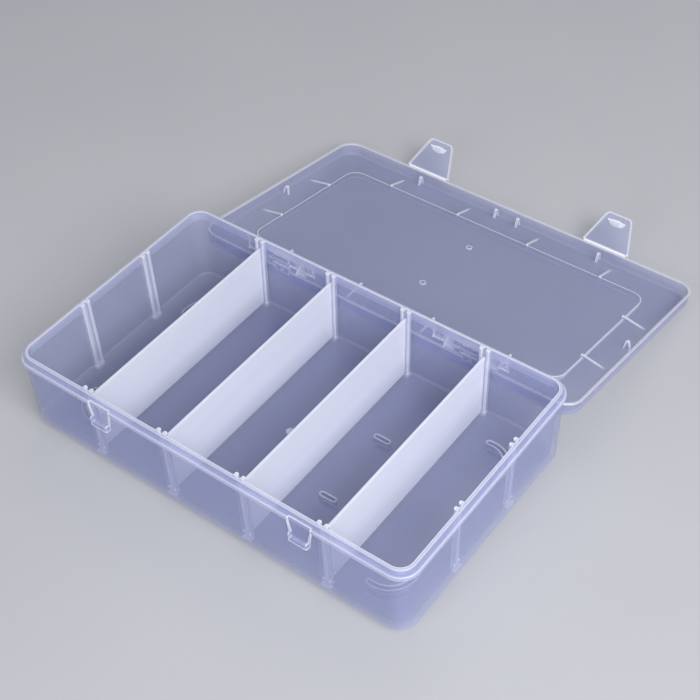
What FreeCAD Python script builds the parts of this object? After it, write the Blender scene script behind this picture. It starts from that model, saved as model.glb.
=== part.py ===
import FreeCAD, Part
import math
import os

os.makedirs("parts", exist_ok=True)
Vec = FreeCAD.Vector
UP = Vec(0, 0, 1)
ALONG = Vec(1, 0, 0)

# All sizes are in millimetres. X runs along the front wall, Y from front to back, Z up from the ground.
# Z is zero under the tray's feet. While a piece is drawn, X and Y are zero at the middle of the tray. The
# finished pieces are moved along Y, so that zero is the middle of the open box, tray and lid together.

# Overall sizes
OUTER_LENGTH = 180.0
OUTER_WIDTH = 106.6
LIP_TOP = 39.0

# Tray walls, floor and rim
FLANGE_OVERHANG = 1.6
FLANGE_THICKNESS = 2.0
LIP_RISE = 2.1
LIP_THICKNESS = 1.2
LIP_CORNER = 6.5
WALL_PROUD = 0.8
WALL_LEAN = 0.025
FOOT_HEIGHT = 4.2
FLOOR_THICKNESS = 1.4
BASE_ROUND = 0.6
FLOOR_ROUND = 0.8
EDGE_ROUND = 0.4
ROOT = 0.8

lip_length = OUTER_LENGTH - 2 * FLANGE_OVERHANG
lip_width = OUTER_WIDTH - 2 * FLANGE_OVERHANG
flange_top = LIP_TOP - LIP_RISE
flange_low = flange_top - FLANGE_THICKNESS
floor_top = FOOT_HEIGHT + FLOOR_THICKNESS
back_face = OUTER_WIDTH / 2

# Slots for the dividers: pairs of upright ribs
SLOT_PITCH = 35.8
END_SLOT_PITCH = 34.5
RIB_WIDTH = 1.4
RIB_DEPTH = 1.6
RIB_ROUND = 0.5
RIB_TOP_DROP = 0.1
RIB_FOOT_RISE = 0.5
DIVIDER_THICKNESS = 1.0
CLEAR = 0.3
slot_gap = DIVIDER_THICKNESS + 2 * CLEAR
slot_positions = [(index - 1.5) * SLOT_PITCH for index in range(4)]
end_slot_positions = [-END_SLOT_PITCH / 2, END_SLOT_PITCH / 2]
rib_offset = (slot_gap + RIB_WIDTH) / 2

# Dividers
DIVIDER_DROP = 4.3
DIVIDER_CORNER = 2.4
divider_top = LIP_TOP - DIVIDER_DROP

# Lid, drawn shut first and then turned open about the hinge pins
LID_DEPTH = 5.6
LID_LEAN = 0.07
LID_ROUND = 1.0
SKIRT_THICKNESS = 1.0
PANEL_THICKNESS = 1.3
PANEL_STEP = 0.9
PANEL_END_MARGIN = 14.7
PANEL_SIDE_MARGIN = 16.1
PANEL_CORNER = 6.0
STEP_WALL = 0.8
GROUND_GAP = 0.12
lid_rim = flange_top + CLEAR
lid_top = lid_rim + LID_DEPTH
lid_ceiling = lid_top - PANEL_THICKNESS
panel_length = OUTER_LENGTH - 2 * PANEL_END_MARGIN
panel_width = OUTER_WIDTH - 2 * PANEL_SIDE_MARGIN

# Wedges and fins inside the lid
TICK_LENGTH = 10.0
TICK_HEIGHT = 1.9
TICK_THICKNESS = 0.9
FIN_THICKNESS = 1.0
FIN_BASE = 2.8
FIN_HEIGHT = 4.2
FIN_SHOULDER = 1.8
FIN_LEAN = 0.6
FIN_TIP = 1.2
FIN_ROUND = 0.5
FRONT_FINS = [-46.0, -5.6, 5.6, 46.0]

# Hinges: pins between ears on the tray, split clips on the lid
HINGE_X = 45.5
PIN_BEHIND = 0.5
PIN_DROP = 6.25
PIN_RADIUS = 1.1
PIN_PLAY = 0.05
CLIP_WALL = 0.9
CLIP_WIDTH = 3.0
CLIP_SPLIT = 0.9
CLIP_MOUTH = 1.8
CLIP_GAP = 0.5
STRAP_THICKNESS = 1.4
STRAP_INSET = 0.8
EAR_RADIUS = 3.0
EAR_WIDTH = 5.0
EAR_SPREAD = 9.75
EAR_FOOT_DROP = 6.85
EAR_UNDERSIDE_ANGLE = -35.0
HINGE_POCKET = 15.5
HINGE_DIP_DROP = 2.55
HINGE_LEG = 1.7
HINGE_RAIL = 2.0
pin_y = back_face + PIN_BEHIND
pin_z = lid_rim - PIN_DROP
ear_foot_z = pin_z - EAR_FOOT_DROP
strap_inner_y = back_face - STRAP_INSET
hinge_dip_low = pin_z - HINGE_DIP_DROP
clip_room_half = CLIP_SPLIT / 2 + CLIP_WIDTH + CLIP_GAP

# Turn of the open lid about the pins: its far top edge comes down until it is just over the ground
far_edge_y = LID_LEAN * LID_DEPTH - back_face - pin_y
far_edge_z = lid_top - pin_z
open_angle = math.degrees(math.atan2(far_edge_z, -far_edge_y)
                          - math.asin((pin_z - GROUND_GAP) / math.hypot(far_edge_y, far_edge_z))) - 180

# Latches: flaps on thin webs, with hooks that catch under bars on the tray's front
LATCH_X = 46.0
LATCH_POCKET = 4.75
CATCH_LEG = 0.7
CATCH_RAIL = 3.0
CATCH_HALF = 4.2
CATCH_PROUD = 1.7
CATCH_ROUND = 0.9
WEB_GAP = 0.4
WEB_SPLIT = 0.15
WEB_THICKNESS = 0.4
WEB_HALF = 10.0
FLAP_THICKNESS = 1.4
FLAP_LENGTH = 15.4
FLAP_BASE_HALF = 10.9
FLAP_TIP_HALF = 5.75
FLAP_TIP_ROUND = 2.2
HOOK_START = 10.7
HOOK_CREST = 0.7
HOOK_END = 12.5
HOOK_HEIGHT = 1.5
HOOK_START_HALF = 1.8
HOOK_END_HALF = 3.3
HOOK_RIB_HALF = 3.95
HOOK_RIB_WIDTH = 0.8
HOOK_RIB_HEIGHT = 0.7
PHOTO_FLAP_ANGLE = 51.0
flap_axis_y = -back_face - WEB_GAP
flap_axis_z = lid_rim
catch_face = back_face + CATCH_PROUD
catch_low = lid_rim - math.sqrt((HOOK_START - CLEAR) ** 2 - (CATCH_PROUD - WEB_GAP) ** 2)

# Feet: round-ended bars under the floor with a groove over each, curved at the corners and straight further
# in. They and the gate dome are laid out about a point a little in front of the tray's middle.
FLOOR_CENTRE_Y = -1.8
FOOT_GROOVE_WIDTH = 1.6
FOOT_GROOVE_DEPTH = 0.8
FOOT_WALL = 0.6
STRAIGHT_FOOT_LENGTH = 6.7
STRAIGHT_FOOT_X = 30.9
STRAIGHT_FOOT_Y = 17.1
CURVED_FOOT_RADIUS = 10.3
CURVED_FOOT_X = 67.0
CURVED_FOOT_Y = 28.7
CURVED_FOOT_ANGLE = 112.0

# Gate marks left by moulding: a dome on the floor, two low stubs inside the lid
GATE_DOME_RADIUS = 2.0
GATE_DOME_HEIGHT = 0.9
LID_GATE_RADIUS = 1.4
LID_GATE_HEIGHT = 0.4
LID_GATE_Y = 17.9


def fused(shapes):
    """One clean solid from several overlapping ones."""
    return shapes[0].multiFuse(shapes[1:]).removeSplitter()


def box(x_low, x_high, y_low, y_high, z_low, z_high):
    """Box between two values on each axis."""
    return Part.makeBox(x_high - x_low, y_high - y_low, z_high - z_low, Vec(x_low, y_low, z_low))


def slab(points, direction):
    """Straight-sided solid: a closed outline pushed along a direction."""
    return Part.Face(Part.makePolygon(points + points[:1])).extrude(direction)


def turned(shape, angle, centre=Vec(0, 0, 0), axis=UP):
    """Copy of a shape turned about an axis."""
    copy = shape.copy()
    copy.rotate(centre, axis, angle)
    return copy


def mirrored_in_x(shape):
    """Copy of a shape on the other side of the plane X = 0."""
    return shape.mirror(Vec(0, 0, 0), ALONG)


def rounded_block(length, width, corner, z_low, z_high, low_inset=0.0, high_inset=0.0):
    """Block with upright rounded corners whose sides may be drawn in at the bottom or the top."""
    half_x = length / 2
    half_y = width / 2
    core_x = half_x - corner
    core_y = half_y - corner
    low_x = half_x - low_inset
    low_y = half_y - low_inset
    high_x = half_x - high_inset
    high_y = half_y - high_inset
    along_x = slab([Vec(-low_x, -core_y, z_low), Vec(low_x, -core_y, z_low),
                    Vec(high_x, -core_y, z_high), Vec(-high_x, -core_y, z_high)], Vec(0, 2 * core_y, 0))
    along_y = slab([Vec(-core_x, -low_y, z_low), Vec(-core_x, low_y, z_low),
                    Vec(-core_x, high_y, z_high), Vec(-core_x, -high_y, z_high)], Vec(2 * core_x, 0, 0))
    pieces = [along_x, along_y]
    for x in (-core_x, core_x):
        for y in (-core_y, core_y):
            if low_inset == high_inset:
                post = Part.makeCylinder(corner - low_inset, z_high - z_low, Vec(x, y, z_low))
            else:
                post = Part.makeCone(corner - low_inset, corner - high_inset, z_high - z_low,
                                     Vec(x, y, z_low))
            pieces.append(post)
    return fused(pieces)


def level_edges(shape, z):
    """Edges of a shape that lie wholly at one height."""
    return [edge for edge in shape.Edges
            if abs(edge.BoundBox.ZMin - z) < 1e-6 and abs(edge.BoundBox.ZMax - z) < 1e-6]


def tray_wall_inner_y(half_width, z):
    """Inner face of a wall at a height, for a wall whose lip face stands at half_width."""
    return half_width - WALL_LEAN * (LIP_TOP - z)


def tray_shell():
    """Open tray: leaning walls, rounded floor edges, flange and upright lip."""
    body = rounded_block(lip_length + 2 * WALL_PROUD, lip_width + 2 * WALL_PROUD, LIP_CORNER + WALL_PROUD,
                         FOOT_HEIGHT, flange_top, low_inset=WALL_LEAN * (flange_top - FOOT_HEIGHT))
    body = body.makeFillet(BASE_ROUND, level_edges(body, FOOT_HEIGHT))
    body = body.cut(fused(clip_recesses()))
    flange = rounded_block(OUTER_LENGTH, OUTER_WIDTH, LIP_CORNER + FLANGE_OVERHANG, flange_low, flange_top)
    flange = flange.makeFillet(EDGE_ROUND, level_edges(flange, flange_low) + level_edges(flange, flange_top))
    flange = flange.cut(fused(flange_pockets()))
    lip = rounded_block(lip_length, lip_width, LIP_CORNER, flange_low, LIP_TOP)
    lip = lip.makeFillet(EDGE_ROUND, level_edges(lip, LIP_TOP))
    cavity = rounded_block(lip_length - 2 * LIP_THICKNESS, lip_width - 2 * LIP_THICKNESS,
                           LIP_CORNER - LIP_THICKNESS, floor_top, LIP_TOP,
                           low_inset=WALL_LEAN * (LIP_TOP - floor_top))
    cavity = cavity.makeFillet(FLOOR_ROUND, level_edges(cavity, floor_top))
    return fused([body, flange, lip] + flange_dips()).cut(cavity)


def flange_pockets():
    """Gaps in the flange: two at the back for the hinges and two at the front for the latches."""
    hinge = box(HINGE_X - HINGE_POCKET, HINGE_X + HINGE_POCKET, lip_width / 2, OUTER_WIDTH, 0, LIP_TOP)
    latch = box(LATCH_X - LATCH_POCKET, LATCH_X + LATCH_POCKET, -OUTER_WIDTH, -lip_width / 2, 0, LIP_TOP)
    return [hinge, mirrored_in_x(hinge), latch, mirrored_in_x(latch)]


def hinge_dip():
    """Rail that carries the flange down round the right-hand hinge, open where the clips turn."""
    inner_y = lip_width / 2 - ROOT
    outer_half = HINGE_POCKET + HINGE_LEG
    frame = box(HINGE_X - outer_half, HINGE_X + outer_half, inner_y, back_face,
                hinge_dip_low, flange_low + EDGE_ROUND)
    window = box(HINGE_X - HINGE_POCKET, HINGE_X + HINGE_POCKET, inner_y, back_face,
                 hinge_dip_low + HINGE_RAIL, LIP_TOP)
    clip_room = box(HINGE_X - clip_room_half, HINGE_X + clip_room_half, lip_width / 2, OUTER_WIDTH,
                    0, LIP_TOP)
    return frame.cut(window).cut(clip_room)


def clip_recesses():
    """Shallow hollows in the back wall's outer face, in which the lid's hinge clips turn."""
    recess = box(HINGE_X - clip_room_half, HINGE_X + clip_room_half, lip_width / 2 - CLEAR, OUTER_WIDTH,
                 pin_z - EAR_RADIUS, LIP_TOP)
    return [recess, mirrored_in_x(recess)]


def catch_outline(high_half, low_half, low):
    """Corners of a shape that narrows from under the flange down to a height, on the back wall."""
    y = lip_width / 2 - ROOT
    top = flange_low + EDGE_ROUND
    return [Vec(-LATCH_X - high_half, y, top), Vec(-LATCH_X - low_half, y, low),
            Vec(-LATCH_X + low_half, y, low), Vec(-LATCH_X + high_half, y, top)]


def catch():
    """Two leaning legs under the flange and the rounded block they hold, drawn on the back wall."""
    depth = Vec(0, back_face - lip_width / 2 + ROOT, 0)
    frame = slab(catch_outline(LATCH_POCKET + CATCH_LEG, CATCH_HALF, catch_low), depth)
    window = slab(catch_outline(LATCH_POCKET, CATCH_HALF - CATCH_LEG, catch_low + CATCH_RAIL), depth)
    block = box(-LATCH_X - CATCH_HALF, -LATCH_X + CATCH_HALF, lip_width / 2 - ROOT, catch_face,
                catch_low, catch_low + CATCH_RAIL)
    front_edges = [edge for edge in block.Edges if edge.BoundBox.YMin > catch_face - CATCH_ROUND]
    rounded_edges = [edge for edge in front_edges if edge.BoundBox.ZMax > catch_low + CATCH_ROUND]
    return fused([frame.cut(window), block.makeFillet(CATCH_ROUND, rounded_edges)])


def flange_dips():
    """The four places where the flange dips: round the hinges, and at the front to the latch catches."""
    hinge = hinge_dip()
    latch = turned(catch(), 180)
    return [hinge, mirrored_in_x(hinge), latch, mirrored_in_x(latch)]


def slot_rib(half_width, offset):
    """Upright rib on the back wall of a tray of this inner half width, leaning with the wall."""
    top = LIP_TOP - RIB_TOP_DROP
    wall_top = tray_wall_inner_y(half_width, top)
    low = floor_top + RIB_FOOT_RISE
    wall_low = tray_wall_inner_y(half_width, low)
    left = offset - RIB_WIDTH / 2
    rib = slab([Vec(left, wall_top - RIB_DEPTH, top), Vec(left, wall_low - RIB_DEPTH, low),
                Vec(left, wall_low + ROOT, low), Vec(left, wall_top + ROOT, top)], Vec(RIB_WIDTH, 0, 0))
    inner_edges = [edge for edge in rib.Edges
                   if edge.BoundBox.YMax < wall_top and edge.BoundBox.ZLength > RIB_WIDTH]
    return rib.makeFillet(RIB_ROUND, inner_edges)


def slot_ribs():
    """Rib pairs round all four walls."""
    ribs = []
    for half_width, positions, angles in (
            (lip_width / 2 - LIP_THICKNESS, slot_positions, (0, 180)),
            (lip_length / 2 - LIP_THICKNESS, end_slot_positions, (90, 270))):
        for position in positions:
            for side in (-rib_offset, rib_offset):
                rib = slot_rib(half_width, position + side)
                ribs += [turned(rib, angle) for angle in angles]
    return ribs


def hinge_ears():
    """Two ears and the round pin between them, for the right-hand hinge."""
    root_y = lip_width / 2 - ROOT
    foot_y = root_y - WALL_LEAN * (flange_top - ear_foot_z)
    underside = math.radians(EAR_UNDERSIDE_ANGLE)
    lower_tangent = Vec(0, pin_y + EAR_RADIUS * math.cos(underside), pin_z + EAR_RADIUS * math.sin(underside))
    nose = Part.makeCylinder(EAR_RADIUS, EAR_WIDTH, Vec(0, pin_y, pin_z), ALONG)
    gusset = slab([Vec(0, root_y, pin_z + EAR_RADIUS), Vec(0, pin_y, pin_z + EAR_RADIUS),
                   lower_tangent, Vec(0, foot_y, ear_foot_z)], Vec(EAR_WIDTH, 0, 0))
    ear = fused([nose, gusset])
    ears = [ear.translated(Vec(HINGE_X + side * EAR_SPREAD - EAR_WIDTH / 2, 0, 0)) for side in (-1, 1)]
    pin = Part.makeCylinder(PIN_RADIUS, 2 * EAR_SPREAD, Vec(HINGE_X - EAR_SPREAD, pin_y, pin_z), ALONG)
    return fused(ears + [pin])


def straight_bar(length, width, height):
    """Round-ended bar lying along X, centred on the origin and standing on it."""
    half = (length - width) / 2
    bar = box(-half, half, -width / 2, width / 2, 0, height)
    ends = [Part.makeCylinder(width / 2, height, Vec(x, 0, 0)) for x in (-half, half)]
    return fused([bar] + ends)


def curved_bar(width, height):
    """Round-ended bar bent round the origin, with its middle on the diagonal between X and Y."""
    outer = Part.makeCylinder(CURVED_FOOT_RADIUS + width / 2, height, Vec(0, 0, 0), UP, CURVED_FOOT_ANGLE)
    inner = Part.makeCylinder(CURVED_FOOT_RADIUS - width / 2, height)
    end = Part.makeCylinder(width / 2, height, Vec(CURVED_FOOT_RADIUS, 0, 0))
    bar = fused([outer.cut(inner), end, turned(end, CURVED_FOOT_ANGLE)])
    return turned(bar, 45 - CURVED_FOOT_ANGLE / 2)


def in_four_quarters(shape):
    """A shape and its mirror images in the planes X = 0 and Y = 0."""
    other = mirrored_in_x(shape)
    return [shape, other, turned(shape, 180), turned(other, 180)]


def foot_bars(spread, low, high):
    """The eight feet, or the grooves over them, between two heights; spread is the wall beside a groove."""
    width = FOOT_GROOVE_WIDTH + 2 * spread
    straight = straight_bar(STRAIGHT_FOOT_LENGTH + 2 * spread, width, high - low)
    straight.translate(Vec(STRAIGHT_FOOT_X, STRAIGHT_FOOT_Y, low))
    curved = curved_bar(width, high - low)
    curved.translate(Vec(CURVED_FOOT_X, CURVED_FOOT_Y, low))
    bars = in_four_quarters(straight) + in_four_quarters(curved)
    return [bar.translated(Vec(0, FLOOR_CENTRE_Y, 0)) for bar in bars]


def gate_dome():
    """Low round dome where the tray was fed in the mould."""
    ball_radius = (GATE_DOME_RADIUS ** 2 + GATE_DOME_HEIGHT ** 2) / (2 * GATE_DOME_HEIGHT)
    ball = Part.makeSphere(ball_radius, Vec(0, FLOOR_CENTRE_Y, floor_top + GATE_DOME_HEIGHT - ball_radius))
    top = Part.makeCylinder(ball_radius, 2 * GATE_DOME_HEIGHT,
                            Vec(0, FLOOR_CENTRE_Y, floor_top - GATE_DOME_HEIGHT))
    return ball.common(top)


def make_tray():
    """The tray with its slots, hinge ears, latch catches, gate dome and grooved feet."""
    ears = hinge_ears()
    feet = foot_bars(FOOT_WALL, 0, FOOT_HEIGHT + FLOOR_THICKNESS / 2)
    whole = fused([tray_shell(), gate_dome(), ears, mirrored_in_x(ears)] + slot_ribs() + feet)
    return whole.cut(fused(foot_bars(0, floor_top - FOOT_GROOVE_DEPTH, floor_top)))


def make_divider(position):
    """Loose sheet that drops into one pair of slots across the tray."""
    half_width = lip_width / 2 - LIP_THICKNESS - CLEAR
    low = floor_top + CLEAR
    half_top = tray_wall_inner_y(half_width, divider_top)
    half_low = tray_wall_inner_y(half_width, low)
    left = position - DIVIDER_THICKNESS / 2
    sheet = slab([Vec(left, -half_low, low), Vec(left, half_low, low),
                  Vec(left, half_top, divider_top), Vec(left, -half_top, divider_top)],
                 Vec(DIVIDER_THICKNESS, 0, 0))
    corners = [edge for edge in sheet.Edges
               if edge.BoundBox.ZMax < divider_top / 2 and edge.BoundBox.YLength < 1e-6]
    return sheet.makeFillet(DIVIDER_CORNER, corners)


def lid_shell():
    """Shallow lid: skirt, panel with a sunk middle and two gate stubs, rounded top edge."""
    corner = LIP_CORNER + FLANGE_OVERHANG
    shell = rounded_block(OUTER_LENGTH, OUTER_WIDTH, corner, lid_rim, lid_top,
                          high_inset=LID_LEAN * LID_DEPTH)
    shell = shell.makeFillet(LID_ROUND, level_edges(shell, lid_top))
    inside = rounded_block(OUTER_LENGTH - 2 * SKIRT_THICKNESS, OUTER_WIDTH - 2 * SKIRT_THICKNESS,
                           corner - SKIRT_THICKNESS, lid_rim, lid_ceiling,
                           high_inset=LID_LEAN * (lid_ceiling - lid_rim))
    sunk = rounded_block(panel_length - 2 * STEP_WALL, panel_width - 2 * STEP_WALL, PANEL_CORNER - STEP_WALL,
                         lid_top - PANEL_STEP, lid_top)
    raised = rounded_block(panel_length, panel_width, PANEL_CORNER, lid_ceiling - PANEL_STEP,
                           lid_ceiling + PANEL_STEP / 2)
    gate_low = lid_ceiling - PANEL_STEP - LID_GATE_HEIGHT
    gate = Part.makeCylinder(LID_GATE_RADIUS, PANEL_STEP, Vec(0, LID_GATE_Y, gate_low))
    return fused([shell.cut(inside), raised, gate, turned(gate, 180)]).cut(sunk)


def lid_tick(half_width, offset):
    """Thin wedge inside the lid, over a divider slot of the back wall."""
    start = half_width - PANEL_STEP
    left = offset - TICK_THICKNESS / 2
    root = lid_ceiling + PANEL_STEP / 2
    return slab([Vec(left, start, root), Vec(left, start, lid_ceiling - TICK_HEIGHT),
                 Vec(left, half_width, lid_ceiling - TICK_HEIGHT),
                 Vec(left, half_width + TICK_LENGTH, lid_ceiling), Vec(left, half_width + TICK_LENGTH, root)],
                Vec(TICK_THICKNESS, 0, 0))


def lid_fin(half_width, offset):
    """Upright fin inside the lid, steep on its inner side, that keeps the lip against the back skirt."""
    outer_y = half_width - LIP_THICKNESS - CLEAR
    inner_y = outer_y - FIN_BASE
    left = offset - FIN_THICKNESS / 2
    root = lid_ceiling + PANEL_STEP / 2
    tip = lid_ceiling - FIN_HEIGHT
    fin = slab([Vec(left, outer_y, root), Vec(left, outer_y, lid_ceiling - FIN_SHOULDER),
                Vec(left, inner_y + FIN_LEAN + FIN_TIP, tip), Vec(left, inner_y + FIN_LEAN, tip),
                Vec(left, inner_y, lid_ceiling), Vec(left, inner_y, root)], Vec(FIN_THICKNESS, 0, 0))
    tip_edges = [edge for edge in level_edges(fin, tip) if edge.BoundBox.YLength < 1e-6]
    return fin.makeFillet(FIN_ROUND, tip_edges)


def lid_details():
    """Wedges over every slot, and fins along the front and at both ends."""
    pieces = []
    for position in slot_positions:
        tick = lid_tick(panel_width / 2, position)
        pieces += [tick, turned(tick, 180)]
    for position in end_slot_positions:
        tick = lid_tick(panel_length / 2, position)
        pieces += [turned(tick, 90), turned(tick, 270)]
    pieces += [turned(lid_fin(lip_width / 2, offset), 180) for offset in FRONT_FINS]
    pieces += [turned(lid_fin(lip_length / 2, 0), angle) for angle in (90, 270)]
    return pieces


def hinge_clip(left):
    """One split clip on its strap, reaching from the lid's back rim down to the pin."""
    bore = PIN_RADIUS + PIN_PLAY
    centre = Vec(left, pin_y, pin_z)
    ring = Part.makeCylinder(bore + CLIP_WALL, CLIP_WIDTH, centre, ALONG)
    strap = box(left, left + CLIP_WIDTH, strap_inner_y, strap_inner_y + STRAP_THICKNESS,
                pin_z, lid_rim + SKIRT_THICKNESS)
    hole = Part.makeCylinder(bore, CLIP_WIDTH, centre, ALONG)
    mouth = box(left, left + CLIP_WIDTH, pin_y, pin_y + 2 * EAR_RADIUS,
                pin_z - CLIP_MOUTH / 2, pin_z + CLIP_MOUTH / 2)
    return fused([ring, strap]).cut(hole).cut(mouth)


def hinge_clips():
    """Two clips side by side at each hinge."""
    inner = hinge_clip(HINGE_X - CLIP_SPLIT / 2 - CLIP_WIDTH)
    outer = hinge_clip(HINGE_X + CLIP_SPLIT / 2)
    return [inner, outer, mirrored_in_x(inner), mirrored_in_x(outer)]


def latch_webs():
    """The lid's share of the two thin webs that the latches bend on."""
    web = box(LATCH_X - WEB_HALF, LATCH_X + WEB_HALF,
              flap_axis_y + WEB_SPLIT, -back_face + SKIRT_THICKNESS / 2, lid_rim, lid_rim + WEB_THICKNESS)
    return [web, mirrored_in_x(web)]


def make_lid():
    """The lid turned open until its far edge is just over the ground."""
    shut = fused([lid_shell()] + lid_details() + hinge_clips() + latch_webs())
    return opened(shut)


def opened(shape):
    """Copy of a shape drawn with the lid shut, carried round with the lid to its open place."""
    return turned(shape, open_angle, Vec(0, pin_y, pin_z), ALONG)


def latch_hook(centre):
    """Hook on a flap's inner face: a tooth that narrows towards the bend, on a longer low rib."""
    root = lid_rim + FLAP_THICKNESS / 2
    crest = lid_rim - HOOK_HEIGHT
    start_y = flap_axis_y - HOOK_START
    end_y = flap_axis_y - HOOK_END
    left = centre - HOOK_END_HALF
    wedge = slab([Vec(left, start_y, root), Vec(left, start_y, crest), Vec(left, start_y - HOOK_CREST, crest),
                  Vec(left, end_y, lid_rim), Vec(left, end_y, root)], Vec(2 * HOOK_END_HALF, 0, 0))
    plan = slab([Vec(centre - HOOK_START_HALF, start_y, crest), Vec(centre + HOOK_START_HALF, start_y, crest),
                 Vec(centre + HOOK_END_HALF, end_y, crest), Vec(centre - HOOK_END_HALF, end_y, crest)],
                Vec(0, 0, root - crest))
    rib = box(centre - HOOK_RIB_HALF, centre + HOOK_RIB_HALF, end_y, end_y + HOOK_RIB_WIDTH,
              lid_rim - HOOK_RIB_HEIGHT, root)
    return fused([wedge.common(plan), rib])


def make_latch(centre):
    """Flap with rounded tip corners and a hook, bent up off the open lid."""
    base_y = flap_axis_y - WEB_GAP
    tip_y = flap_axis_y - FLAP_LENGTH
    flap = slab([Vec(centre - FLAP_BASE_HALF, base_y, lid_rim), Vec(centre - FLAP_TIP_HALF, tip_y, lid_rim),
                 Vec(centre + FLAP_TIP_HALF, tip_y, lid_rim), Vec(centre + FLAP_BASE_HALF, base_y, lid_rim)],
                Vec(0, 0, FLAP_THICKNESS))
    tip_corners = [edge for edge in flap.Edges
                   if edge.BoundBox.ZLength > FLAP_THICKNESS / 2 and edge.BoundBox.YMax < tip_y + 1]
    flap = flap.makeFillet(FLAP_TIP_ROUND, tip_corners)
    web = box(centre - WEB_HALF, centre + WEB_HALF, base_y - WEB_GAP, flap_axis_y - WEB_SPLIT,
              lid_rim, lid_rim + WEB_THICKNESS)
    flat = fused([flap, web, latch_hook(centre)])
    return opened(turned(flat, PHOTO_FLAP_ANGLE, Vec(0, flap_axis_y, flap_axis_z), ALONG))


def main():
    """Build every piece, move it into the open box's frame and write it out."""
    nodes = {"tray": make_tray(), "lid": make_lid()}
    nodes["latch_left"] = make_latch(-LATCH_X)
    nodes["latch_right"] = make_latch(LATCH_X)
    for number, position in enumerate(slot_positions, start=1):
        nodes[f"divider_{number}"] = make_divider(position)
    open_middle = (nodes["latch_left"].BoundBox.YMax - catch_face) / 2
    for name, shape in nodes.items():
        shape.translate(Vec(0, -open_middle, 0))
        shape.exportStep(f"parts/{name}.step")
        print(name, "solids", len(shape.Solids), "valid", shape.isValid(), "volume", round(shape.Volume, 1))
    print("open middle", round(open_middle, 4), "open angle", round(open_angle, 4),
          "pin", round(pin_y - open_middle, 4), round(pin_z, 4))


main()
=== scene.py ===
# %% [markdown]
# # An open compartment box in see-through polypropylene
# The box is a tray with a hinged lid, two latches on thin film hinges and four loose divider sheets.
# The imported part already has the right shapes, so this lesson is mostly about light passing through hazy
# plastic: how to set the camera, how to light a see-through thing, and how to build two polypropylene
# finishes from nodes.

import math

import bpy
import numpy as np
from mathutils import Matrix, Vector


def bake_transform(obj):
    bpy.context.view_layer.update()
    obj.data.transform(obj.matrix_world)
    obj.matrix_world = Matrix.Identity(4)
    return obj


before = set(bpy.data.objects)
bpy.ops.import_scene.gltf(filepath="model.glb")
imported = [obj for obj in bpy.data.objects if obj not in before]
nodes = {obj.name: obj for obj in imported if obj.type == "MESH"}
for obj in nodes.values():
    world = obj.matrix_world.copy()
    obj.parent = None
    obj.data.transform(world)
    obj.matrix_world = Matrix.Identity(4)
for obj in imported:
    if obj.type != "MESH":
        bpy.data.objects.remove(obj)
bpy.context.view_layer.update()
MM = 0.001
print("pieces:", ", ".join(sorted(nodes)))

# %% [markdown]
# ## The camera
# A picture is matched by the place of the eye, the direction of sight and the lens. These were worked out
# from the straight edges of the box, together with its proportions. A camera's own axes are its columns:
# X to the right of the picture, Y up the picture and Z out of it towards the viewer, so one matrix holds the
# whole direction.

# %% Place the camera
EYE = Vector((247.07, -334.62, 422.61)) * MM
CAMERA_HEADING = math.radians(-38.221)
CAMERA_DIP = math.radians(45.405)
CAMERA_ROLL = math.radians(2.481)
LENS_MM = 74.7
SENSOR_MM = 36.0


def camera_axes(heading, dip, roll):
    """Columns right, up and back of a camera.

    Heading turns from +Y towards +X, dip looks down from the level, and roll turns the picture.
    """
    forward = Vector((math.sin(heading) * math.cos(dip), math.cos(heading) * math.cos(dip), -math.sin(dip)))
    level_right = Vector((math.cos(heading), -math.sin(heading), 0.0))
    level_down = forward.cross(level_right)
    right = math.cos(roll) * level_right + math.sin(roll) * level_down
    down = math.cos(roll) * level_down - math.sin(roll) * level_right
    return Matrix((right, -down, -forward)).transposed()


camera_data = bpy.data.cameras.new("camera")
camera_data.lens = LENS_MM
camera_data.sensor_width = SENSOR_MM
camera = bpy.data.objects.new("camera", camera_data)
direction_of_sight = camera_axes(CAMERA_HEADING, CAMERA_DIP, CAMERA_ROLL)
camera.matrix_world = Matrix.Translation(EYE) @ direction_of_sight.to_4x4()
bpy.context.scene.collection.objects.link(camera)
bpy.context.scene.camera = camera
print("camera stands", round(EYE.length, 3), "m from the middle of the box's footprint")

# %% [markdown]
# ## Colours and nodes
# Colours are written as the hex values a picture editor shows, and shaders work in linear light, so one
# function converts them. A second one adds a node, sets it and links it in one go, which keeps each material
# as short as a list of what it does. A third one starts a material with nothing but its output.

# %% Helpers for materials
SRGB_TOE_END = 0.04045
SRGB_TOE_SLOPE = 12.92
SRGB_OFFSET = 0.055
SRGB_POWER = 2.4


def linear(hex_colour):
    """Linear red, green, blue and an alpha of one, from an sRGB hex value.

    Near black the light is the value over a fixed slope; above that it is a power of the offset value.
    """
    channels = np.array([int(hex_colour[i:i + 2], 16) for i in (1, 3, 5)]) / 255
    toe = channels / SRGB_TOE_SLOPE
    curve = ((channels + SRGB_OFFSET) / (1 + SRGB_OFFSET)) ** SRGB_POWER
    light = np.where(channels <= SRGB_TOE_END, toe, curve)
    return (*light.tolist(), 1.0)


def add_node(material, kind, settings=None, values=None, links=None):
    """One node: settings are its properties, values its own sockets, links the outputs that feed it."""
    node = material.node_tree.nodes.new(kind)
    for name, setting in (settings or {}).items():
        setattr(node, name, setting)
    for name, value in (values or {}).items():
        node.inputs[name].default_value = value
    for name, output in (links or {}).items():
        material.node_tree.links.new(output, node.inputs[name])
    return node


def new_material(name):
    """An empty node material, with its output node."""
    material = bpy.data.materials.new(name)
    material.use_nodes = True
    material.node_tree.nodes.clear()
    return material, add_node(material, "ShaderNodeOutputMaterial")


print("pale lavender in linear light:", [round(c, 3) for c in linear("#dfe3f8")])

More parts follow.
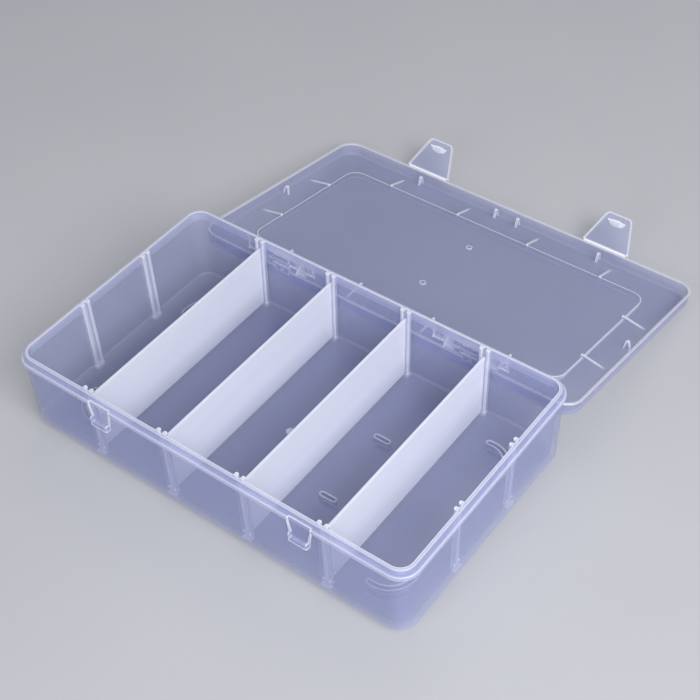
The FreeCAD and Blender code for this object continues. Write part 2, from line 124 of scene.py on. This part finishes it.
# %% [markdown]
# ## The floor
# The floor is a stage and no part of the box. It lies a tenth of a millimetre under the feet, because two
# surfaces in exactly the same plane leave the renderer to guess which one is in front. A faint mottle keeps
# it from looking like a blank picture background.

# %% Floor under the box
FLOOR_DROP = 0.1 * MM
FLOOR_HALF = 3.0
FLOOR_DARK = "#bfc0c4"
FLOOR_PALE = "#c5c6c9"


def painted_board():
    """Pale matt paint: almost one colour, with a soft mottle a hand wide."""
    material, output = new_material("pale_matt_paint")
    coordinates = add_node(material, "ShaderNodeTexCoord")
    mottle = add_node(material, "ShaderNodeTexNoise", values={"Scale": 12.0, "Detail": 3.0},
                      links={"Vector": coordinates.outputs["Object"]})
    tone = add_node(material, "ShaderNodeValToRGB", links={"Fac": mottle.outputs["Fac"]})
    tone.color_ramp.elements[0].color = linear(FLOOR_DARK)
    tone.color_ramp.elements[1].color = linear(FLOOR_PALE)
    shader = add_node(material, "ShaderNodeBsdfPrincipled",
                      values={"Roughness": 0.95, "Specular IOR Level": 0.15},
                      links={"Base Color": tone.outputs["Color"]})
    material.node_tree.links.new(shader.outputs["BSDF"], output.inputs["Surface"])
    return material


square = np.array([(-1, -1, 0), (1, -1, 0), (1, 1, 0), (-1, 1, 0)])
floor_corners = square * FLOOR_HALF - np.array([0, 0, FLOOR_DROP])
floor_mesh = bpy.data.meshes.new("floor")
floor_mesh.from_pydata(floor_corners.tolist(), [], [(0, 1, 2, 3)])
floor = bpy.data.objects.new("floor", floor_mesh)
bpy.context.scene.collection.objects.link(floor)
floor.data.materials.append(painted_board())
print("floor", 2 * FLOOR_HALF, "m wide")

# %% [markdown]
# ## Soft studio light
# Clear plastic shows the lights that it mirrors, so the lamps are wide panels. The main one stands high at
# the right of the eye: a divider shades the foot of the next one unless the light comes down steeper than
# the gap between them. A weaker panel in front lights the front wall and one above the lid draws its long
# edges. A ray that looks through the box meets two faces at every wall, so the number of see-through faces a
# ray may pass is raised; otherwise the parts furthest from the eye would turn black.

# %% Light panels and sky
# Each panel: place in metres, width and height in metres, power in watts, colour
LAMPS = {
    "panel_right": ((0.85, -0.40, 0.80), (0.7, 0.6), 13.0, "#ffffff"),
    "panel_front": ((0.10, -1.00, 0.50), (0.7, 0.4), 3.0, "#f8f8ff"),
    "panel_above": ((-0.20, 0.45, 0.95), (0.8, 0.6), 1.5, "#f8f8ff"),
}
SKY_COLOUR = "#e6e8f0"
SKY_STRENGTH = 0.3
SEE_THROUGH_FACES = 32


def light_panel(name, place, size, power, colour):
    """A flat lamp that faces the ground under the middle of the box."""
    data = bpy.data.lights.new(name, "AREA")
    data.shape = "RECTANGLE"
    data.size, data.size_y = size
    data.energy = power
    data.color = linear(colour)[:3]
    lamp = bpy.data.objects.new(name, data)
    lamp.location = place
    lamp.rotation_euler = (-Vector(place)).to_track_quat("-Z", "Y").to_euler()
    bpy.context.scene.collection.objects.link(lamp)


for lamp_name, lamp_settings in LAMPS.items():
    light_panel(lamp_name, *lamp_settings)
world = bpy.data.worlds.new("studio")
world.use_nodes = True
sky = world.node_tree.nodes["Background"]
sky.inputs["Color"].default_value = linear(SKY_COLOUR)
sky.inputs["Strength"].default_value = SKY_STRENGTH
bpy.context.scene.world = world
bpy.context.scene.view_settings.view_transform = "Standard"
bpy.context.scene.cycles.transparent_max_bounces = SEE_THROUGH_FACES
print("lamps:", ", ".join(LAMPS))

# %% [markdown]
# ## Masks from arithmetic
# Tray, lid and latches are moulded from one clear grade of polypropylene. It is never as clear as glass:
# fine crystals in it scatter a little light, and more where the plastic is thick. A renderer can follow the
# light inside the plastic, but in walls as thin as these that is slow and grainy, so the thick places are
# marked instead. A mask is a number that is one at such a place and zero elsewhere. Arithmetic nodes work it
# out from Object coordinates, so it stays on the plastic when a piece moves.

# %% Helpers for masks
STEP = 0.3 * MM


def combined(material, operation, first, second):
    """One number from two, by an arithmetic operation; the second may be a plain value."""
    if isinstance(second, float):
        sockets = {"values": {1: second}, "links": {0: first}}
    else:
        sockets = {"links": {0: first, 1: second}}
    return add_node(material, "ShaderNodeMath", {"operation": operation}, **sockets).outputs["Value"]


def step_up(material, value, edge):
    """Zero below an edge and one above it, with a short slope between."""
    return add_node(material, "ShaderNodeMapRange", links={"Value": value},
                    values={"From Min": edge, "From Max": edge + STEP}).outputs["Result"]


def between(material, value, low, high):
    """One between two edges and zero outside them: the step at the low edge less the one at the high edge."""
    return combined(material, "SUBTRACT", step_up(material, value, low), step_up(material, value, high))


print("the slope at a mask's edge is", round(STEP / MM, 2), "mm wide")

# %% [markdown]
# ## Rim, ribs, lumps and a painted highlight
# The tray is thickest at its rim, at the ribs that hold the dividers and at its hinges. The ribs are made
# whiter and denser partly for their thickness and partly as a painted glow of the light that runs along them.
# The hooks of the latches are small white lumps, and the gate, where the melt flowed in, gets a white spot on
# its dome that is a painted highlight. The ribs come in even rows, so one node that runs to and fro finds a
# whole row of them. A lump is an egg-shaped space round a point, and as left and right are alike, the
# distance from the middle plane serves for both sides.

# %% Masks for rim, ribs and lumps
TRAY_MIDDLE_Y = -58.01 * MM
FLANGE_LOW = 34.6 * MM
HINGE_LOW = 23.9 * MM
HINGE_NEAR = 52.7 * MM
HINGE_FAR = 58.0 * MM
SLOT_PITCH = 35.8 * MM
END_SLOT_PITCH = 34.5 * MM
LAST_SLOT_END = 60.0 * MM
RIB_REACH = 2.4 * MM
RIB_DEPTH = 3.1 * MM
LONG_WALL_INSIDE = 50.6 * MM
END_WALL_INSIDE = 87.3 * MM
SPOT_CORE = 0.8
# Each spot: its centre and how far it reaches along X, Y and Z
WHITE_SPOTS = {
    # The spot at the gate is a painted highlight on its dome; the spot at the latch hook whitens the hook's
    # plastic
    "gate mark highlight": (Vector((0.0, -59.8, 5.9)) * MM, Vector((2.1, 2.1, 1.0)) * MM),
    "latch hook": (Vector((46.0, 109.2, 13.0)) * MM, Vector((4.2, 1.7, 1.7)) * MM),
}


def at_slots(material, along, pitch):
    """One near every slot of a row: the distance along it runs to and fro and is longest at the slots."""
    to_and_fro = combined(material, "PINGPONG", along, pitch / 2)
    return step_up(material, to_and_fro, pitch / 2 - RIB_REACH)


def rib_and_glow_mask(material, aside, from_middle):
    """One on the ribs of the divider slots, which carry a painted glow: near a wall, near a slot and within
    the row of slots.
    """
    long_wall_ribs = LONG_WALL_INSIDE - RIB_DEPTH
    end_wall_ribs = END_WALL_INSIDE - RIB_DEPTH
    long_walls = between(material, from_middle, long_wall_ribs, LONG_WALL_INSIDE)
    long_row = between(material, aside, 0.0, LAST_SLOT_END)
    long_slots = combined(material, "MULTIPLY", at_slots(material, aside, SLOT_PITCH), long_row)
    long_ribs = combined(material, "MULTIPLY", long_walls, long_slots)
    end_walls = between(material, aside, end_wall_ribs, END_WALL_INSIDE)
    end_row = between(material, from_middle, 0.0, long_wall_ribs)
    end_slots = combined(material, "MULTIPLY", at_slots(material, from_middle, END_SLOT_PITCH), end_row)
    end_ribs = combined(material, "MULTIPLY", end_walls, end_slots)
    return combined(material, "MAXIMUM", long_ribs, end_ribs)


def white_spot(material, place, centre, reach):
    """One in the core of an egg-shaped space round a point, falling to zero at its skin."""
    offset = add_node(material, "ShaderNodeVectorMath", settings={"operation": "SUBTRACT"},
                      values={1: centre}, links={0: place})
    share = add_node(material, "ShaderNodeVectorMath", settings={"operation": "DIVIDE"},
                     values={1: reach}, links={0: offset.outputs["Vector"]})
    length = add_node(material, "ShaderNodeVectorMath", settings={"operation": "LENGTH"},
                      links={0: share.outputs["Vector"]})
    return add_node(material, "ShaderNodeMapRange", values={"From Min": 1.0, "From Max": SPOT_CORE},
                    links={"Value": length.outputs["Value"]}).outputs["Result"]


def lump_and_highlight_mask(material, split, aside, behind):
    """One along the hinge side of the tray under its flange, and in each white spot, one of which is a
    painted highlight on the gate.
    """
    height = split.outputs["Z"]
    lumps = combined(material, "MULTIPLY", between(material, behind, HINGE_NEAR, HINGE_FAR),
                     between(material, height, HINGE_LOW, FLANGE_LOW))
    either_side = add_node(material, "ShaderNodeCombineXYZ",
                           links={"X": aside, "Y": split.outputs["Y"], "Z": height}).outputs["Vector"]
    for centre, reach in WHITE_SPOTS.values():
        lumps = combined(material, "MAXIMUM", lumps, white_spot(material, either_side, centre, reach))
    return lumps


def thick_places(material, position):
    """Three masks: the tray's rim, its ribs with their painted glow, and its hinges, latch hooks and the
    painted highlight on its gate.
    """
    split = add_node(material, "ShaderNodeSeparateXYZ", links={"Vector": position})
    aside = combined(material, "ABSOLUTE", split.outputs["X"], 0.0)
    behind = combined(material, "SUBTRACT", split.outputs["Y"], TRAY_MIDDLE_Y)
    from_middle = combined(material, "ABSOLUTE", behind, 0.0)
    rim = step_up(material, split.outputs["Z"], FLANGE_LOW)
    ribs = rib_and_glow_mask(material, aside, from_middle)
    lumps = lump_and_highlight_mask(material, split, aside, behind)
    return rim, ribs, lumps


print("pitch of the slots in mm:", round(SLOT_PITCH / MM, 1), "and", round(END_SLOT_PITCH / MM, 1))
print("white spots:", ", ".join(WHITE_SPOTS))

# %% [markdown]
# ## Painted glow at the edges
# Light that runs along inside a wall leaves it at the edges, so they glow. That glow is painted here: a mask
# makes the edges whiter and denser. Ambient occlusion turned to the inside finds them: it tells how much
# room there is inside the plastic, which is little at an edge, a rib or a fin. A face can be seen from its
# back through the plastic, and its normal is then turned round, so it is turned back first.

# %% Mask for the painted glow at the edges
EDGE_REACH = 0.75 * MM
GLOW_STARTS = 0.95
GLOW_FULL = 0.6


def painted_edge_glow(material):
    """One where there is little room inside the plastic, at edges, ribs and fins, zero on open walls: where
    the glow is painted.
    """
    side = add_node(material, "ShaderNodeNewGeometry")
    # Plus one on a front face and minus one on a back face
    turn = add_node(material, "ShaderNodeMath", settings={"operation": "MULTIPLY_ADD"},
                    values={1: -2.0, 2: 1.0}, links={0: side.outputs["Backfacing"]})
    outward = add_node(material, "ShaderNodeVectorMath", settings={"operation": "SCALE"},
                       links={0: side.outputs["Normal"], "Scale": turn.outputs["Value"]})
    room = add_node(material, "ShaderNodeAmbientOcclusion", values={"Distance": EDGE_REACH},
                    settings={"inside": True, "only_local": True, "samples": 4},
                    links={"Normal": outward.outputs["Vector"]})
    return add_node(material, "ShaderNodeMapRange", links={"Value": room.outputs["AO"]},
                    values={"From Min": GLOW_STARTS, "From Max": GLOW_FULL}).outputs["Result"]


print("edges are looked for within", round(EDGE_REACH / MM, 2), "mm")

# %% [markdown]
# ## See-through polypropylene
# Walls this thin hardly bend what is behind them, so alpha does the work and no light is bent. Each face
# hides a quarter of what lies behind it with a lavender haze, and nearly half at a slant. The thick places
# and the edges are laid over that haze, whiter and denser; in this way the glow of the edges and ribs and the
# highlight on the gate are painted. Alpha also lets the lamps shine straight through, so the ground under
# the box stays lit. The skin is smooth with a faint waviness from the mould, and fine scuffs make it a
# little rougher in patches.

# %% Clear polypropylene, injection moulded
HAZE_DARK = "#9aa3d0"
HAZE_PALE = "#a8b0da"
HAZE_FACING = 0.26
HAZE_SLANT = 0.45
# Colour and hiding power of each denser place. The edge look is a painted glow, the rib look is partly one,
# and the lump look also paints the highlight on the gate.
RIM_LOOK = ("#bcc3ea", 0.5)
RIB_AND_GLOW_LOOK = ("#dfe3fa", 0.6)
LUMP_AND_HIGHLIGHT_LOOK = ("#eaecfc", 0.78)
EDGE_GLOW_LOOK = ("#fcfcff", 0.95)


def hazy_layers(material, position):
    """Colour and hiding power: a haze, then each denser place laid over it by its mask, a painted glow and a
    painted highlight among them.
    """
    # Cloudiness of the melt, in patches about 40 mm wide
    cloud = add_node(material, "ShaderNodeTexNoise", values={"Scale": 25.0, "Detail": 2.0},
                     links={"Vector": position})
    tint = add_node(material, "ShaderNodeValToRGB", links={"Fac": cloud.outputs["Fac"]})
    tint.color_ramp.elements[0].color = linear(HAZE_DARK)
    tint.color_ramp.elements[1].color = linear(HAZE_PALE)
    # Seen at a slant, a wall is thicker and hides more
    slant = add_node(material, "ShaderNodeLayerWeight", values={"Blend": 0.5})
    haze = add_node(material, "ShaderNodeMapRange", values={"To Min": HAZE_FACING, "To Max": HAZE_SLANT},
                    links={"Value": slant.outputs["Facing"]})
    rim, ribs, lumps = thick_places(material, position)
    # Painted glow: edges, ribs and fins are made whiter and denser
    edges = painted_edge_glow(material)
    colour = tint.outputs["Color"]
    hiding = haze.outputs["Result"]
    for mask, look in ((rim, RIM_LOOK), (ribs, RIB_AND_GLOW_LOOK), (lumps, LUMP_AND_HIGHLIGHT_LOOK), (edges, EDGE_GLOW_LOOK)):
        hex_colour, share = look
        colour = add_node(material, "ShaderNodeMix", settings={"data_type": "RGBA"},
                          values={"B": linear(hex_colour)},
                          links={"Factor": mask, "A": colour}).outputs["Result"]
        hiding = add_node(material, "ShaderNodeMapRange", values={"To Max": share},
                          links={"Value": mask, "To Min": hiding}).outputs["Result"]
    return colour, hiding


def moulded_skin(material, position):
    """Roughness and relief of the skin: fine scuffs, and waves left by the mould."""
    # Waves about 4 mm long and some two thousandths of a millimetre high
    waves = add_node(material, "ShaderNodeTexNoise", values={"Scale": 250.0, "Detail": 2.0},
                     links={"Vector": position})
    relief = add_node(material, "ShaderNodeBump", values={"Strength": 0.1, "Distance": 0.02 * MM},
                      links={"Height": waves.outputs["Fac"]})
    scuffs = add_node(material, "ShaderNodeTexNoise", values={"Scale": 90.0, "Detail": 6.0, "Roughness": 0.7},
                      links={"Vector": position})
    dullness = add_node(material, "ShaderNodeMapRange", links={"Value": scuffs.outputs["Fac"]},
                        values={"From Min": 0.3, "From Max": 0.7, "To Min": 0.12, "To Max": 0.25})
    return dullness.outputs["Result"], relief.outputs["Normal"]


def clear_polypropylene():
    """Smooth hazy moulding: a haze over what is behind it, whiter in lumps, with a painted highlight on the
    gate and a painted glow along edges.
    """
    material, output = new_material("clear_polypropylene_moulded")
    position = add_node(material, "ShaderNodeTexCoord").outputs["Object"]
    colour, hiding = hazy_layers(material, position)
    roughness, relief = moulded_skin(material, position)
    # The see-through share dims the mirror too, so an IOR above the plastic's own 1.49 brings back its shine
    shader = add_node(material, "ShaderNodeBsdfPrincipled", values={"IOR": 1.7},
                      links={"Base Color": colour, "Roughness": roughness, "Alpha": hiding, "Normal": relief})
    material.node_tree.links.new(shader.outputs["BSDF"], output.inputs["Surface"])
    return material


clear = clear_polypropylene()
for name in ("tray", "lid", "latch_left", "latch_right"):
    nodes[name].data.materials.clear()
    nodes[name].data.materials.append(clear)
print("clear polypropylene on tray, lid and latches")

# %% [markdown]
# ## Milk-white divider sheet
# The dividers are punched from extruded sheet of a cloudier grade. Light goes into it and comes out again
# nearby, which is subsurface scattering. The skin is satin, with faint streaks along the direction of
# extrusion, made by a noise that is stretched along the sheet.

# %% Milk polypropylene, extruded sheet
DIVIDER_COUNT = 4
SHEET_DARK = "#dfe2f8"
SHEET_PALE = "#e9ebfc"
STREAK_SQUEEZE = (1.0, 0.06, 1.0)


def milk_polypropylene():
    """Satin milk-white sheet that glows a little, with faint streaks along its length."""
    material, output = new_material("milk_polypropylene_sheet")
    position = add_node(material, "ShaderNodeTexCoord").outputs["Object"]
    along = add_node(material, "ShaderNodeMapping", values={"Scale": STREAK_SQUEEZE},
                     links={"Vector": position})
    streaks = add_node(material, "ShaderNodeTexNoise", values={"Scale": 220.0, "Detail": 3.0},
                       links={"Vector": along.outputs["Vector"]})
    tint = add_node(material, "ShaderNodeValToRGB", links={"Fac": streaks.outputs["Fac"]})
    tint.color_ramp.elements[0].color = linear(SHEET_DARK)
    tint.color_ramp.elements[1].color = linear(SHEET_PALE)
    grain = add_node(material, "ShaderNodeTexNoise", values={"Scale": 1800.0, "Detail": 2.0},
                     links={"Vector": position})
    relief = add_node(material, "ShaderNodeBump", values={"Strength": 0.25, "Distance": 0.02 * MM},
                      links={"Height": grain.outputs["Fac"]})
    shader = add_node(material, "ShaderNodeBsdfPrincipled",
                      values={"Roughness": 0.42, "IOR": 1.49, "Subsurface Weight": 0.7,
                              "Subsurface Radius": (1.0, 1.0, 1.2), "Subsurface Scale": 2.0 * MM},
                      links={"Base Color": tint.outputs["Color"], "Normal": relief.outputs["Normal"]})
    material.node_tree.links.new(shader.outputs["BSDF"], output.inputs["Surface"])
    return material


milk = milk_polypropylene()
for number in range(1, DIVIDER_COUNT + 1):
    sheet = nodes[f"divider_{number}"]
    sheet.data.materials.clear()
    sheet.data.materials.append(milk)
print("milk polypropylene on", DIVIDER_COUNT, "dividers")

# %% [markdown]
# ## Section of a film hinge
# Each latch is moulded in one with the lid and bends on a film of plastic 0.4 mm thick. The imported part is
# split along the bend, because two bodies need a joint between them, so the film itself is made here. Its
# section is a fan round the bend line with a short straight end on each side.

# %% Section of the film
LID_TILT = math.radians(-10.351)
FLAP_TURN = math.radians(51.0)
FILM_THICKNESS = 0.4 * MM
FILM_STRAIGHT = 0.13 * MM
FAN_STEPS = 9


def direction(angle):
    """Y and Z of a unit step at an angle in the section: its cosine and its sine."""
    return np.stack([np.cos(angle), np.sin(angle)], axis=-1)


def film_section():
    """Loop of Y and Z offsets from the bend line: out along the inner face, back on the outer face.

    The lid's film points along its tilt and the flap's film along tilt plus turn. The outer face of each
    lies a quarter turn below its own direction, and the fan joins the two outer faces.
    """
    flap_angle = LID_TILT + FLAP_TURN
    lid_end = -FILM_STRAIGHT * direction(LID_TILT)
    flap_end = FILM_STRAIGHT * direction(flap_angle)
    fan_angles = np.linspace(flap_angle, LID_TILT, FAN_STEPS) - math.pi / 2
    fan = FILM_THICKNESS * direction(fan_angles)
    return np.vstack([lid_end, np.zeros(2), flap_end, flap_end + fan[0], fan, lid_end + fan[-1]])


print("the film's section has", len(film_section()), "points")

# %% [markdown]
# ## A film for each latch
# The section is carried along the bend line over the width of the latch.

# %% Films between the lid and its latches
BEND_Y = 100.4156 * MM
BEND_Z = 5.4865 * MM
LATCH_X = 46.0 * MM
FILM_HALF = 10.0 * MM
WIDTH_STEPS = 41


def film_mesh(name, centre_x):
    """The section carried along X: one row of points for each step of the width, capped at both ends."""
    section = film_section()
    count = len(section)
    across = centre_x + np.linspace(-FILM_HALF, FILM_HALF, WIDTH_STEPS)
    points = np.empty((WIDTH_STEPS, count, 3))
    points[..., 0] = across[:, None]
    points[..., 1] = BEND_Y + section[:, 0]
    points[..., 2] = BEND_Z + section[:, 1]
    row, column = np.meshgrid(np.arange(WIDTH_STEPS - 1), np.arange(count), indexing="ij")
    here = row * count + column
    beside = row * count + (column + 1) % count
    sides = np.stack([here, here + count, beside + count, beside], axis=-1).reshape(-1, 4)
    caps = [list(range(count)), list(range(WIDTH_STEPS * count - 1, (WIDTH_STEPS - 1) * count - 1, -1))]
    mesh = bpy.data.meshes.new(name)
    mesh.from_pydata(points.reshape(-1, 3).tolist(), [], sides.tolist() + caps)
    return mesh


for side, centre_x in (("left", -LATCH_X), ("right", LATCH_X)):
    film = bpy.data.objects.new(f"latch_{side}_film", film_mesh(f"latch_{side}_film", centre_x))
    bpy.context.scene.collection.objects.link(film)
    film.data.materials.append(clear)
    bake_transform(film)
    print(film.name, "has", len(film.data.polygons), "faces")
